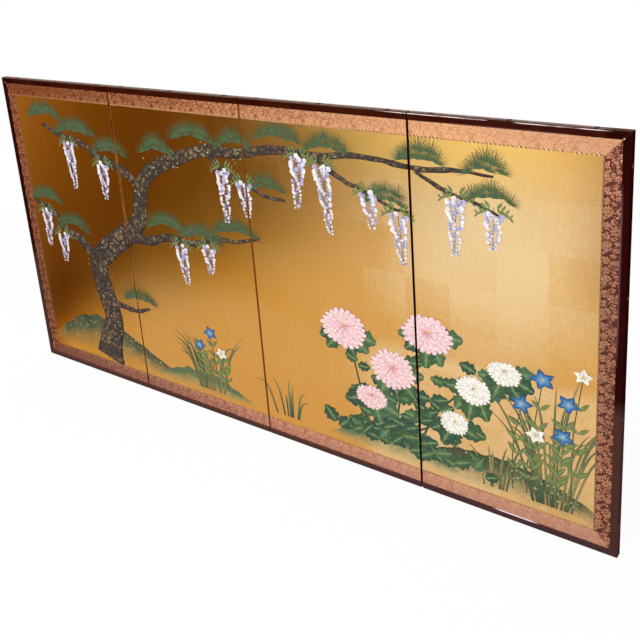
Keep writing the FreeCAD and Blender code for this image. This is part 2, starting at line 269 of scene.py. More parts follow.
def gold_leaf(tree):
    """The colour, roughness and relief of gold leaf on silk; the colour holds a painted reflection and shade.
    """
    place = add(tree, "TexCoord")["Object"]
    x, _, z = split(place)
    wander = grain(place, 7.0) * (6 * MM) - 3 * MM
    squares, laps = [], []
    for side in (x, z):
        steps = (side + wander) / LEAF
        squares.append(calc("FLOOR", steps))
        laps.append(calc("FRACT", steps) < LEAF_LAP / LEAF)
    square = add(tree, "CombineXYZ", {0: squares[0], 1: squares[1]})["Vector"]
    tone = add(tree, "TexWhiteNoise", {"Vector": square}, noise_dimensions="2D")["Value"]
    lap = calc("MAXIMUM", *laps)
    clouds = grain(place, 5.0, 3.0)
    weave = grain(object_place(tree, (1, 1, 14)), 60) + grain(object_place(tree, (14, 1, 1)), 60)
    # Painted reflection: the leaf pales round a middle at the upper right and towards the foot, and stays
    # deep ochre far from them.
    away = add(tree, "VectorMath", {0: place, 1: GOLD_SHEEN_MIDDLE}, operation="DISTANCE")["Value"]
    shade = 1.0 - away / GOLD_SHEEN_REACH
    foot = share_of(z, FOOT_HIGH, FOOT_LOW)
    foot_sheen_tone = ramp(share_of(x, FOOT_LEFT, FOOT_RIGHT), *FOOT_SHEEN_TONES)
    shade = calc("MAXIMUM", shade, foot * foot_sheen_tone)
    shade += (clouds - 0.5) * 0.2 + (tone - 0.5) * 0.1 + (weave - 1.0) * 0.22
    gold = ramp(shade, (0.05, DEEP_GOLD), (0.96, PALE_GOLD), (0.57, MID_GOLD))
    # Painted reflection: a brighter band near the top, from the middle rightwards, fading out at the right
    # end.
    upper = share_of(z, TOP_LOW, TOP_HIGH) * share_of(x, TOP_LEFT, TOP_RIGHT)
    gold = blend_of(upper * share_of(x, TOP_END, TOP_FADE), gold, TOP_SHEEN_GOLD)
    # Painted shade: the leaf darkens near the right edge, in its upper part.
    edge = share_of(x, EDGE_FROM, EDGE_TO) * share_of(z, EDGE_LOW, EDGE_HIGH)
    gold = blend_of(edge, gold, EDGE_SHADE, mode="MULTIPLY")
    off_seam = abs(x - SEAM_PLACE) + grain(place, 30, 3.0) * (2 * MM)
    by_seam = (off_seam < SEAM_HALF + MM) * 0.7
    gold = blend_of(by_seam, gold, SEAM_GILT)
    gold = blend_of(lap * LAP_SHOWS, gold, PALE_GOLD)
    polish = weave * 0.12 + 0.2 + tone * 0.03
    return gold, polish, relief(weave + lap * 0.5, 0.05 * MM)


gold_ground, tree, shader = material("gold_leaf_on_silk", Metallic=1.0)
feed(shader, dict(zip(("Base Color", "Roughness", "Normal"), gold_leaf(tree))))
dress(gold_ground, "gold_silk", "picture_%d")

# Painted hills: thin washes of malachite green laid wet on the gold, dense along the ridge and
# fading out towards the foot. The painting runs over all four panels and is cut at the seams.

PICTURE_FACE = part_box("picture_1")[0].y
LAYER = 0.03 * MM
PAINT_THICK = 0.05 * MM
MOSS_DARK, MOSS, MOSS_PALE = colour(46, 60, 40), colour(78, 98, 62), colour(130, 150, 96)
OLIVE_WASH, GRAIN_TONE = colour(120, 118, 66), (0.62, 0.62, 0.64, 1)
chance = random.Random(4)
vary = chance.uniform


def mix(first, second, share):
    """A colour between two others."""
    share = min(max(share, 0.0), 1.0)
    return tuple(a + (b - a) * share for a, b in zip(first, second))


def put(name, data):
    """A new object in the scene."""
    made = bpy.data.objects.new(name, data)
    bpy.context.scene.collection.objects.link(made)
    return made


def hang(name, bm, finish, closed=False):
    """Cuts a painted layer at the picture edges of each panel; each part rides on its panel."""
    for panel in PANELS:
        low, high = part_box("picture_%d" % panel)
        part = bm.copy()
        for corner, side in ((low, -1), (high, 1)):
            for direction in ((side, 0, 0), (0, 0, side)):
                whole = part.verts[:] + part.edges[:] + part.faces[:]
                bmesh.ops.bisect_plane(
                    part, geom=whole, plane_co=corner, plane_no=direction, clear_outer=True
                )
        if closed:
            rims = [edge for edge in part.edges if edge.is_boundary]
            bmesh.ops.holes_fill(part, edges=rims)
        if part.faces:
            mesh = bpy.data.meshes.new("%s_%d" % (name, panel))
            part.to_mesh(mesh)
            mesh.materials.append(finish)
            piece = put(mesh.name, mesh)
            if not closed:
                film = piece.modifiers.new("film", "SOLIDIFY")
                film.thickness, film.offset = PAINT_THICK, -1.0
            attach(piece, "panel_%d" % panel)
        part.free()
    bm.free()


def gouache(name, roughness):
    """Mineral colours bound in glue: matt and slightly grainy, in the colours of the layer."""
    made, tree, shader = material(name, Roughness=roughness)
    place = object_place(tree)
    laid = add(tree, "Attribute", attribute_name="paint")
    uneven = grain(place, 130, 5.0, 0.7)
    pigment = blend_of(ramp(uneven, (0.42, 0.75), (0.6, 0.0)), laid["Color"], GRAIN_TONE, mode="MULTIPLY")
    gold, polish, _ = gold_leaf(tree)
    worn = ramp(grain(place, 60, 4.0, 0.7), (0.3, 0.5), (0.6, 1.0))
    cover = calc("MAXIMUM", laid["Alpha"] * worn, laid["Alpha"] * 4.0 - 3.0, clamp=True)
    surface(shader, blend_of(cover, gold, pigment), uneven, 0.1 * MM)
    feed(shader, {"Metallic": 1.0 - cover, "Roughness": polish + cover * (roughness - 0.33)})
    return made


def hill(bm, left, right, foot, rise, level, dense, thin):
    """A hill between two x places in millimetres; rise gives its height above the foot at a share."""
    upright = Matrix.Translation((0.5, 0, 0.5)) @ Matrix.Rotation(math.radians(90), 4, "X")
    made = bmesh.ops.create_grid(bm, x_segments=110, y_segments=12, size=0.5, matrix=upright)
    paint = bm.verts.layers.float_color["paint"]
    for vertex in made["verts"]:
        along, up = vertex.co.x, vertex.co.z
        x = left + (right - left) * along
        ragged = 9 * noise.noise((x * 0.03, foot, 0)) + 3 * noise.noise((x * 0.25, 0, 1))
        height = max(rise(along) + ragged * min(1.0, 8 * along * (1 - along)), 1.0)
        drift = 10 * noise.noise((x * 0.02, 5, 0)) * (1 - up)
        vertex.co = (x * MM, PICTURE_FACE - level * LAYER, (foot + drift + height * up) * MM)
        patch = 0.5 + 0.9 * noise.noise((x * 0.018, up * 2.2, 3))
        cover = min(1.0, 1.5 * up ** 0.8) * min(1.0, 9 * along * (1 - along))
        vertex[paint] = (*mix(thin, dense, up * 0.9 + 0.35 * patch - 0.2)[:3], cover)


def layer():
    """An empty layer that paint is laid on."""
    bm = bmesh.new()
    bm.verts.layers.float_color.new("paint")
    return bm


def dome(height, fullness):
    """A rounded rise of a height in millimetres."""
    return lambda share: height * math.sin(math.pi * share) ** fullness


mineral_paint = gouache("mineral_paint", 0.82)

PINE_HILL = (-885, -300, 66, lambda share: dome(130, 0.7)(share) * (0.8 + 0.25 * math.sin(5 * share)))
FLOWER_HILL = (420, 900, 58, lambda share: dome(96, 0.6)(share) * (1.1 - 0.3 * share))
washes = layer()
hill(washes, *PINE_HILL, 1, MOSS_DARK, OLIVE_WASH)
hill(washes, -430, -40, 60, dome(60, 0.8), 2.5, MOSS, MOSS_PALE)
hill(washes, 190, 580, 62, dome(58, 0.7), 2.5, MOSS, MOSS_PALE)
hill(washes, *FLOWER_HILL, 1, MOSS_DARK, OLIVE_WASH)
hang("painted_hills", washes, mineral_paint)

# Painted pine: an old twisted trunk drawn in ink and umber, its bark in rough plates, with long
# boughs that cross the seams and needle fans in dark malachite set in flat pads.

INK, UMBER, PLATE = colour(40, 31, 27), colour(84, 62, 44), colour(142, 106, 66)
LICHEN = colour(122, 134, 98)
TRUNK = (
    (-615, 60, 58), (-600, 120, 46), (-565, 200, 38), (-590, 285, 39), (-610, 360, 36), (-560, 430, 35),
    (-470, 480, 33), (-395, 540, 27), (-385, 630, 24), (-330, 700, 21), (-235, 735, 18), (-130, 775, 15),
    (-20, 770, 12), (90, 800, 10), (215, 790, 8), (340, 812, 6.5), (470, 790, 5), (585, 806, 3.5),
    (650, 796, 1.5),
)
BOUGHS = (
    ((-600, 370, 22), (-650, 440, 15), (-725, 455, 12), (-775, 520, 9), (-835, 530, 6), (-858, 548, 3)),
    ((-385, 640, 15), (-440, 690, 12), (-530, 700, 10), (-600, 750, 8), (-690, 752, 6), (-760, 785, 3)),
    (
        (-470, 490, 17), (-380, 478, 13), (-300, 515, 10), (-205, 500, 8), (-120, 540, 6), (-40, 535, 4),
        (25, 560, 2),
    ),
    ((-600, 250, 12), (-530, 262, 8), (-470, 245, 6), (-410, 270, 3)),
    ((-130, 775, 8), (-75, 720, 6), (0, 700, 5), (70, 668, 3), (118, 672, 1.5)),
    ((215, 790, 6), (275, 745, 5), (350, 728, 4), (420, 690, 2.5), (455, 694, 1.2)),
    ((470, 790, 4), (540, 748, 3.5), (610, 742, 2.5), (665, 712, 1.2)),
)
PADS = (
    (-800, 560, 100), (-690, 488, 90), (-745, 822, 100), (-620, 785, 105), (-490, 740, 85),
    (-445, 300, 75), (-300, 552, 90), (-180, 538, 95), (-55, 572, 95), (-300, 762, 85),
    (-165, 812, 100), (-30, 806, 70), (62, 706, 70), (110, 836, 85), (245, 826, 75),
    (395, 722, 70), (480, 826, 75), (640, 758, 70), (630, 818, 60),
)
NEEDLE_DARK, NEEDLE, NEEDLE_TIP = colour(36, 58, 40), colour(58, 88, 56), colour(112, 132, 76)


def brush(strokes, swell, tint, rough_edge=0.0, level=0.0):
    """Brush strokes as rounded ribbons: each a smooth line of (x, z, half width) in millimetres."""
    curve = bpy.data.curves.new("strokes", "CURVE")
    curve.dimensions, curve.use_fill_caps = "3D", True
    curve.bevel_depth, curve.bevel_resolution, curve.resolution_u = 1.0, 2, 5
    for points in strokes:
        line = curve.splines.new("NURBS")
        line.points.add(len(points) - 1)
        for spot, (x, z, half) in zip(line.points, points):
            spot.co, spot.radius = (x * MM, 0, z * MM, 1), half * MM
        line.order_u, line.use_endpoint_u = 3, True
    holder = bpy.data.objects.new("strokes", curve)
    mesh = bpy.data.meshes.new_from_object(holder)
    bm = bmesh.new()
    bm.from_mesh(mesh)
    bpy.data.objects.remove(holder)
    bpy.data.meshes.remove(mesh)
    paint = bm.verts.layers.float_color.new("paint")
    face = PICTURE_FACE - level * LAYER
    for vertex in bm.verts:
        x, y, z = vertex.co
        rise = swell * abs(y) ** 0.3 if y < 0 else -0.02 * MM
        wobble = Vector((noise.noise(vertex.co * 45), 0, noise.noise(vertex.co * 45 + Vector((7, 0, 0)))))
        vertex.co = Vector((x, face - rise, z)) + wobble * rough_edge
        vertex[paint] = tint(vertex.co)
    return bm


def mesh_of(name, bm):
    """The mesh of what was modelled, which is freed."""
    mesh = bpy.data.meshes.new(name)
    bm.to_mesh(mesh)
    bm.free()
    return mesh


def shape(columns, rows, outline, tint, twist=0.0):
    """A flat shape one unit tall that stands on the origin. outline gives its half width at a share
    of its height, and tint its colour at a share of the height and of the half width."""
    bm = layer()
    upright = Matrix.Translation((0, 0, 0.5)) @ Matrix.Rotation(math.radians(90), 4, "X")
    bmesh.ops.create_grid(bm, x_segments=columns, y_segments=rows, size=0.5, matrix=upright)
    paint = bm.verts.layers.float_color["paint"]
    for vertex in bm.verts:
        across, up = vertex.co.x * 2, vertex.co.z
        vertex.co = (across * outline(up), -twist * across, up)
        vertex[paint] = tint(up, abs(across))
    bmesh.ops.remove_doubles(bm, verts=bm.verts, dist=1e-5)
    return mesh_of("shape", bm)


def stamp(bm, mesh, x, z, size, turn=0.0, level=0.0, lean=1.0):
    """Adds a shape to a layer: x, z and size in millimetres, turned clockwise from upright."""
    placed = mesh.copy()
    lift = (level + vary(0, 0.9)) * LAYER
    spot = Matrix.Translation((x * MM, PICTURE_FACE - lift, z * MM))
    grown = Matrix.Diagonal((size * MM, 1, size * MM, 1))
    placed.transform(spot @ Matrix.Diagonal((1, 1, lean, 1)) @ Matrix.Rotation(turn, 4, "Y") @ grown)
    bm.from_mesh(placed)
    bpy.data.meshes.remove(placed)


def vector(operation, first, second):
    """The signal of one Vector Math node."""
    return add(tree_of(first), "VectorMath", {0: first, 1: second}, operation=operation)["Vector"]


bark_paint, tree, shader = material("bark_paint", Roughness=0.8)
place = object_place(tree)
warped = add(tree, "TexNoise", {"Vector": place, "Scale": 30.0, "Detail": 3.0})["Color"]
warped = vector("MULTIPLY", warped, (0.03, 0.03, 0.03))
warped = vector("ADD", place, warped)
scales = add(tree, "TexVoronoi", {"Vector": warped, "Scale": 58.0}, feature="DISTANCE_TO_EDGE")
plate = ramp(scales["Distance"], (0.02, 0.0), (0.28, 1.0))
streaks = grain(place, 170, 4.0, 0.7)
patches = ramp(grain(place, 14, 3.0), (0.38, 0.0), (0.6, 1.0))
wood = blend_of(plate * patches, UMBER, PLATE)
wood = blend_of(plate, INK, wood)
wood = blend_of(ramp(streaks, (0.4, 0.65), (0.6, 0.0)), wood, INK)
mossy = ramp(grain(place, 40, 4.0, 0.7), (0.6, 0.0), (0.7, 0.7))
surface(shader, blend_of(mossy, wood, LICHEN), plate, 0.3 * MM)

every_bough = (TRUNK, *BOUGHS)
outlined = [[(x, z, half * 1.04 + 1.6) for x, z, half in points] for points in every_bough]
hang("pine_outline", brush(outlined, 0.2 * MM, lambda place: INK, 4 * MM), mineral_paint, closed=True)
hang("pine_wood", brush(every_bough, 0.6 * MM, lambda place: UMBER, 3 * MM, level=2), bark_paint, closed=True)

needle = shape(1, 2, lambda up: 0.016 * (1.1 - up), lambda up, across: mix(NEEDLE, NEEDLE_TIP, up))
dark_needle = shape(1, 2, lambda up: 0.02 * (1.1 - up), lambda up, across: mix(NEEDLE_DARK, NEEDLE, up))
fan_bm = layer()
for number in range(11):
    turn = math.radians(-82 + 164 * number / 10)
    stamp(fan_bm, dark_needle, 0, 0, 1000 * (0.86 + 0.1 * math.cos(turn)), turn, level=0)
for number in range(18):
    turn = math.radians(-80 + 160 * number / 17 + vary(-3, 3))
    stamp(fan_bm, needle, 0, 0, 1000 * (0.8 + 0.16 * math.cos(turn)), turn, level=1.5)
bmesh.ops.translate(fan_bm, verts=fan_bm.verts, vec=(0, -PICTURE_FACE, 0))
fan = mesh_of("needle_fan", fan_bm)

needles = layer()
for x, z, wide in PADS:
    for row in range(2):
        count = int(wide / (15 + 5 * row))
        for number in range(count):
            share = (number + 0.5) / count - 0.5
            across = x + share * wide * (1.5 - 0.5 * row) + vary(-4, 4)
            up = z + 14 * row - 52 * share * share + vary(-4, 4) - 8
            reach = vary(32, 42) * (1 - 0.3 * abs(share))
            turn = share * 1.1 + vary(-0.15, 0.15)
            stamp(needles, fan, across, up, reach, turn, level=24 - 4 * row + 0.6 * number)
hang("pine_needles", needles, mineral_paint)

# Painted wisteria: racemes of shell white and pale lilac that hang from the boughs, with a few
# feathered leaves.

SHELL_WHITE, LILAC, LILAC_DEEP = colour(252, 247, 236), colour(206, 200, 224), colour(140, 138, 186)
LEAF_YOUNG, LEAF_MID = colour(140, 150, 84), colour(88, 112, 62)
RACEMES = (
    (-806, 512, 115), (-745, 446, 90), (-655, 738, 135), (-520, 692, 105), (-250, 494, 112), (-150, 506, 78),
    (-72, 728, 140), (-8, 700, 88), (165, 788, 128), (228, 776, 165), (352, 724, 86), (424, 686, 118),
    (566, 742, 128), (648, 720, 80),
)


def floret(edge, body):
    """A rounded petal, paler at its edge."""
    return shape(
        4, 3, lambda up: 0.5 * math.sin(math.pi * min(1, 0.1 + 0.85 * up)) ** 0.6,
        lambda up, across: mix(body, edge, 0.3 * across + 0.9 * up),
    )


pale_floret, lilac_floret = floret(SHELL_WHITE, LILAC), floret(LILAC, LILAC_DEEP)
slim_leaf = shape(
    4, 6, lambda up: 0.17 * math.sin(math.pi * up ** 0.8) + 0.002,
    lambda up, across: mix(LEAF_YOUNG, LEAF_MID, 0.2 + across * 0.8),
)
racemes, vine_lines = layer(), []
for x, z, drop in RACEMES:
    sway = vary(-0.12, 0.12)
    vine_lines.append([(x + sway * d, z + 12 - d, 0.8) for d in (0, 0.4 * drop, 0.8 * drop, drop + 10)])
    rows = int(drop / 8)
    for row in range(rows):
        share = row / rows
        down = drop * (share + 0.05)
        spread = 13 * (1 - share) ** 0.6 + 1.5
        for number in range(3):
            angle = 2 * math.pi * (number / 3 + 0.38 * row) + vary(-0.4, 0.4)
            front = math.cos(angle)
            across = x + sway * down + spread * math.sin(angle)
            kind = pale_floret if front > -0.3 else lilac_floret
            size = (13 - 8 * share) * vary(0.85, 1.1)
            turn = 2.2 * math.sin(angle) + vary(-0.5, 0.5)
            stamp(racemes, kind, across, z - down, size, turn, level=27 + 4 * front)
            stamp(racemes, lilac_floret, across, z - down - 0.2 * size, size * 0.4, turn + 3.1, level=33)
    for side in (-1, 1):
        for number in range(4):
            along = 8 + 9 * number
            spot = (x + side * along, z + 12 - 0.014 * along * along)
            for way in (-1, 1):
                turn = side * 1.5 + way * 0.85
                stamp(racemes, slim_leaf, *spot, 19 - 2.5 * number, turn, level=19 + 0.6 * number)
vines = brush(vine_lines, 0.3 * MM, lambda place: LEAF_MID, level=10)
hang("wisteria_stems", vines, mineral_paint, closed=True)
hang("wisteria", racemes, mineral_paint)

# Painted chrysanthemums: full heads in pale pink and in shell white, with lobed leaves that have
# veins of a lighter green.

ROSE_DEEP, ROSE, ROSE_PALE = colour(206, 104, 124), colour(238, 166, 176), colour(252, 218, 218)
WHITE_SHADE, STAMEN = colour(206, 198, 166), colour(216, 176, 70)
LEAF_COLOURS = (
    (colour(34, 70, 50), colour(58, 98, 66)), (colour(58, 98, 70), colour(92, 124, 74)),
    (colour(46, 82, 52), colour(76, 112, 64)),
)
VEIN = colour(134, 152, 96)
HEADS = (
    (262, 372, 64, 0.80, True), (392, 296, 58, 0.86, True), (486, 408, 62, 0.78, True),
    (330, 206, 44, 0.7, True), (596, 300, 43, 0.8, False), (668, 362, 39, 0.72, False),
    (548, 205, 35, 0.85, False),
)
HEAD_RINGS = ((22, 1.0), (21, 0.86), (19, 0.72), (16, 0.57), (12, 0.42), (8, 0.28), (5, 0.16))


def round_outline(up):
    """The half width of a circle at a share of its height."""
    return math.sqrt(max(0.0, 0.25 - (up - 0.5) ** 2))


def petal(tip, body, root):
    """A rounded petal, deep at its root and edged by a darker line."""
    return shape(
        6, 5, lambda up: 0.17 * math.sin(math.pi * (0.12 + 0.8 * up) ** 0.9) ** 0.55 * (0.55 + 0.55 * up),
        lambda up, across: mix(mix(root, mix(body, tip, up * 1.2), up * 1.7), root, (across - 0.72) * 2.2),
        twist=0.04 * MM,
    )


def lobed(edge, middle):
    """A leaf with three pairs of lobes."""

    def outline(up):
        full = math.sin(math.pi * (0.02 + 0.96 * up) ** 0.85) ** 0.7
        return 0.46 * full * (0.62 + 0.38 * abs(math.cos(9.6 * up)))

    def tint(up, across):
        return mix(VEIN if across < 0.1 else middle, edge, across * 1.1 + 0.15 * math.sin(19 * up))

    return shape(8, 12, outline, tint)


petals = {True: petal(ROSE_PALE, ROSE, ROSE_DEEP), False: petal(SHELL_WHITE, SHELL_WHITE, WHITE_SHADE)}
leaves = [lobed(edge, middle) for edge, middle in LEAF_COLOURS]
stamen = shape(4, 4, round_outline, lambda up, across: STAMEN)
heads, foliage, stems = layer(), layer(), []
for x, z, radius, lean, pink in HEADS:
    root_x = 360 + (x - 400) * 0.35
    bend = (x - root_x) * 0.5
    stem = [(root_x + bend * s * s * 2, 92 + (z - 92) * s, 3.0 - 1.2 * s) for s in (0, 0.3, 0.6, 0.85, 1)]
    stems.append(stem)
    for number, (stem_x, stem_z, _) in enumerate(stem[:-1]):
        for side in (-1, 1):
            spot = (stem_x + vary(-6, 6), stem_z + 30 + vary(-10, 14))
            turn = side * vary(0.9, 1.6)
            size = vary(42, 62) * (1 - 0.09 * number)
            stamp(foliage, chance.choice(leaves), *spot, size, turn, 7 + 1.1 * number + 0.5 * side, lean=0.9)
    for number in range(6):
        turn = math.radians(vary(75, 285))
        spot = (x + 0.45 * radius * math.sin(turn), z + 0.4 * radius * math.cos(turn))
        stamp(foliage, chance.choice(leaves), *spot, vary(46, 64), turn, 13 + number)
    start = vary(0, 1)
    for ring, (count, reach) in enumerate(HEAD_RINGS):
        for number in range(count):
            turn = 2 * math.pi * (number + start + 0.5 * ring) / count
            length = radius * reach * vary(0.93, 1.06)
            height = z + radius * 0.1 * ring * (1 - lean)
            stamp(heads, petals[pink], x, height, length, turn, 22 + 2.4 * ring + 1.1 * (number % 2), lean)
    for number in range(9):
        turn, spread = 2.4 * number, 0.02 * radius * number ** 0.5
        spot = (x + spread * math.cos(turn), z + radius * 0.5 * (1 - lean) + spread * math.sin(turn))
        stamp(heads, stamen, *spot, 3.2, level=40 + 0.9 * number)
for x in range(225, 640, 40):
    for side in (-1, 1):
        spot = (x + vary(-10, 10), 84 + vary(0, 26))
        turn = side * vary(0.5, 1.5)
        stamp(foliage, chance.choice(leaves), *spot, vary(34, 52), turn, level=18 + side, lean=0.9)
stalks = brush(stems, 0.2 * MM, lambda place: LEAF_COLOURS[0][0], level=4)
hang("chrysanthemum_stems", stalks, mineral_paint, closed=True)
hang("chrysanthemum_leaves", foliage, mineral_paint)
hang("chrysanthemum_heads", heads, mineral_paint)

# Painted bellflowers and pampas grass: five-pointed flowers in azurite blue and white on thin
# stems, among long arching blades.

AZURITE_DEEP, AZURITE, AZURITE_PALE = colour(10, 58, 118), colour(30, 108, 172), colour(132, 184, 212)
BLADE_DARK, BLADE_TIP = colour(70, 90, 58), colour(150, 142, 82)
BELLS = (
    (706, 302, 27, 0.2, False), (752, 372, 29, -0.3, False), (806, 330, 26, 0.5, False),
    (738, 236, 24, 0.9, True), (796, 250, 26, -0.6, False), (836, 402, 21, 0.1, True),
    (-226, 205, 22, 0.4, False), (-182, 250, 24, -0.4, False), (-148, 196, 21, 0.8, True),
)
TUFTS = ((772, 24, 330), (-196, 18, 190), (70, 8, 120), (640, 7, 150))


def bell_lobe(tip, body, root):
    """One pointed lobe of a bellflower, with a vein down its middle."""

    def outline(up):
        return 0.42 * math.sin(math.pi * (0.5 * up + 0.5)) ** 0.9 * min(1.0, 0.35 + 1.7 * up)

    def tint(up, across):
        return mix(root, tip, up) if across < 0.2 else mix(mix(root, body, up * 2), tip, across * up)

    return shape(6, 5, outline, tint, twist=0.04 * MM)


def blade_green(place):
    """Darker at the root of a blade and dry towards its tip."""
    return mix(BLADE_DARK, BLADE_TIP, 0.5 + noise.noise(place * 9) + (place.z - 0.2) * 1.6)


lobes = {
    False: bell_lobe(AZURITE_DEEP, AZURITE, AZURITE_PALE),
    True: bell_lobe(SHELL_WHITE, SHELL_WHITE, WHITE_SHADE),
}
bells, blades, bell_stems = layer(), [], []
for x, z, radius, tilt, white in BELLS:
    for number in range(5):
        stamp(bells, lobes[white], x, z, radius, tilt + 2 * math.pi * number / 5, 24 + 1.2 * number, 0.86)
    stamp(bells, stamen, x, z - 2.5, 5, level=32)
    root_x = x + (-20 if x > 0 else 12)
    half_way = (root_x - 4, 84 + 0.5 * (z - 84), 1.3)
    bell_stems.append([(root_x, 84, 1.5), half_way, (x - 2, z - 22, 1.1), (x, z, 1.0)])
    for share in (0.25, 0.42, 0.58, 0.75):
        spot = (root_x + (x - root_x) * share, 84 + (z - 84) * share)
        for side in (-1, 1):
            turn = side * vary(0.6, 1.1)
            stamp(bells, slim_leaf, *spot, vary(26, 38), turn, level=19 + side)
for middle, count, tall in TUFTS:
    for number in range(count):
        side = vary(-1, 1)
        root_x, reach = middle + side * 45, tall * vary(0.55, 1.0)
        lean_x = side * reach * 0.55 + vary(-12, 12)
        blades.append([
            (root_x, 70, 2.4), (root_x + lean_x * 0.2, 70 + reach * 0.45, 2.8),
            (root_x + lean_x * 0.55, 70 + reach * 0.85, 2.2),
            (root_x + lean_x, 70 + reach * vary(0.8, 1.05), 0.5),
        ])
hang("grass_blades", brush(blades, 0.3 * MM, blade_green, level=8), mineral_paint, closed=True)
stalks = brush(bell_stems, 0.3 * MM, lambda place: BLADE_DARK, level=12)
hang("bellflower_stems", stalks, mineral_paint, closed=True)
hang("bellflowers", bells, mineral_paint)

# Moss dots: small rounds of thick pale green and white touched along the hills and the trunk.

DOT_PALE = colour(190, 200, 150)
moss_dot = shape(4, 4, round_outline, lambda up, across: mix(LICHEN, DOT_PALE, up))
dots = layer()
for left, right, foot, rise in (PINE_HILL, FLOWER_HILL):
    for number in range(66):
        share = vary(0.1, 0.86)
        spot = (left + (right - left) * share, foot + rise(share) * vary(0.35, 0.93))
        stamp(dots, moss_dot, *spot, vary(2.5, 6), level=14)
for x, z, half in TRUNK[1:13]:
    for number in range(7):
        spot = (x + vary(-1, 1) * half * 1.1, z + vary(-24, 24))
        stamp(dots, moss_dot, *spot, vary(2.5, 6), level=28)
hang("moss_dots", dots, mineral_paint)

# Brocade border: strips of silk woven with flowers and leaves close together over a wine-brown ground,
# pasted round the picture and mitred at the corners. The top and bottom strips have paler threads as a
# painted sheen.

REPEAT, FLATTER = 69 * MM, 0.55
BLOOMS = (
    (0, 9, 10.5, 12, 0.0), (20, 7, 7, 5, 0.7), (41, 8, 8, 7, 0.3), (33, 23, 10.5, 10, 0.0),
    (49, 20, 6, 5, 0.9), (64, 25.5, 7, 6, 0.4), (17, 20.5, 6, 5, 1.0), (55, 3, 4, 4, 0.6), (8, 27, 5, 4, 0.8),
)
GAP_FINE, GAP_WIDE = 0.10, 0.27
UPRIGHT_THREADS = (colour(236, 167, 124), colour(138, 80, 60), colour(80, 30, 20))
TOP_SHEEN_THREADS = (colour(255, 198, 146), colour(204, 128, 86), colour(142, 68, 38))
FOOT_SHEEN_THREADS = (colour(218, 163, 134), colour(182, 124, 98), colour(142, 86, 62))
PINK_THREAD = (1.0, 0.85, 0.90, 1)
LEAF_SCALE, VEIN_SCALE, STROKE_SCALE, DRAWN_OUT = 170.0, 210.0, 120.0, (0.45, 1.0, 1.0)
STROKES_FROM = 9 * MM
SEED_ALONG, SEED_OUT, SEED_RADIUS = 51 * MM, 6 * MM, 3.8 * MM
CLOTH_SHEEN_FROM, CLOTH_SHEEN_TO, CLOTH_SHEEN_SHARE = -0.35, 0.75, 0.58
LEFT_SHADE, LEFT_SIDE_SHADE, LEFT_END, LEFT_FADE = (0.34, 0.17, 0.025, 1), (0.85, 0.66, 0.42, 1), -0.9, 0.9
END_SHADE, END_FROM, END_TO = (0.74, 0.73, 0.77, 1), 0.55, 0.85
RIGHT_SHADE, RIGHT_HIGH, RIGHT_FADE = (0.68, 0.68, 0.68, 1), 0.9, 0.24

strip_low, strip_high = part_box("brocade_right")
brocade, tree, shader = material("brocade", Roughness=0.42, Metallic=0.6)
place = object_place(tree)
crimp = add(tree, "TexNoise", {"Vector": place, "Scale": 130.0, "Detail": 2.0})["Color"]
crimp = vector("MULTIPLY", vector("SUBTRACT", crimp, (0.5, 0.5, 0.5)), (4 * MM, 0.0, 4 * MM))
drawn_at = vector("ADD", place, crimp)
x, _, z = split(drawn_at)
middle_z = (strip_low.z + strip_high.z) / 2
inner_rise = strip_high.z - middle_z - (strip_high.x - strip_low.x)
off_side = abs(x) - strip_low.x
off_end = abs(z - middle_z) - inner_rise
outward = calc("MAXIMUM", off_side, off_end)
upright = off_side > off_end
high = z > middle_z
along = upright * (z - x) + x
lengthen = upright * (1 - FLATTER) + FLATTER
nearest, second, marks, pink = 9.0, 9.0, 0.0, 0.0
for along_at, out_at, radius, petal_count, pinkness in BLOOMS:
    step = along - along_at * MM
    step = calc("WRAP", step, REPEAT / 2, -REPEAT / 2) * lengthen
    rise = outward - out_at * MM
    lobe = abs(calc("COSINE", calc("ARCTAN2", rise, step) * (petal_count / 2)))
    reach = lobe * (0.3 * radius * MM) + 0.78 * radius * MM
    share = distance(step, rise) / reach
    closer = share < nearest
    second = calc("MINIMUM", second, calc("MAXIMUM", nearest, share))
    nearest = calc("MINIMUM", nearest, share)
    ribs = lobe < share * 0.22 + 0.2
    drawn = calc("MAXIMUM", ribs, calc("COMPARE", share, 0.38, 0.07))
    marks = closer * (drawn - marks) + marks
    pink = closer * (pinkness - pink) + pink
gap = ramp(second - nearest, (GAP_FINE, 1.0), (GAP_WIDE, 0.0))
beyond = ramp(nearest * 0.5, (0.48, 0.0), (0.58, 1.0))
longer = vector("MULTIPLY", drawn_at, DRAWN_OUT)
leaves_at = add(tree, "TexVoronoi", {"Vector": longer, "Scale": LEAF_SCALE}, feature="F1")
leafy = ramp(leaves_at["Distance"], (0.3, 0.85), (0.42, 0.0))
ground_share = calc("MAXIMUM", gap, beyond)
bare_ground = ground_share * (1.0 - leafy)
veins_at = add(tree, "TexVoronoi", {"Vector": drawn_at, "Scale": VEIN_SCALE}, feature="F1")
veins = ramp(veins_at["Distance"], (0.34, 0.0), (0.52, 0.5))
stroke_at = add(tree, "TexVoronoi", {"Vector": longer, "Scale": STROKE_SCALE}, feature="DISTANCE_TO_EDGE")
strokes = ramp(stroke_at["Distance"], (0.06, 1.0), (0.12, 0.0))
broken = ramp(grain(place, 210), (0.42, 0.0), (0.5, 1.0))
strokes *= broken * (upright * 0.1 + 0.9) * (outward > STROKES_FROM)
step = calc("WRAP", along - SEED_ALONG, REPEAT / 2, -REPEAT / 2) * lengthen
seed = ramp(distance(step, outward - SEED_OUT) / (SEED_RADIUS * 2), (0.4, 1.0), (0.56, 0.0))
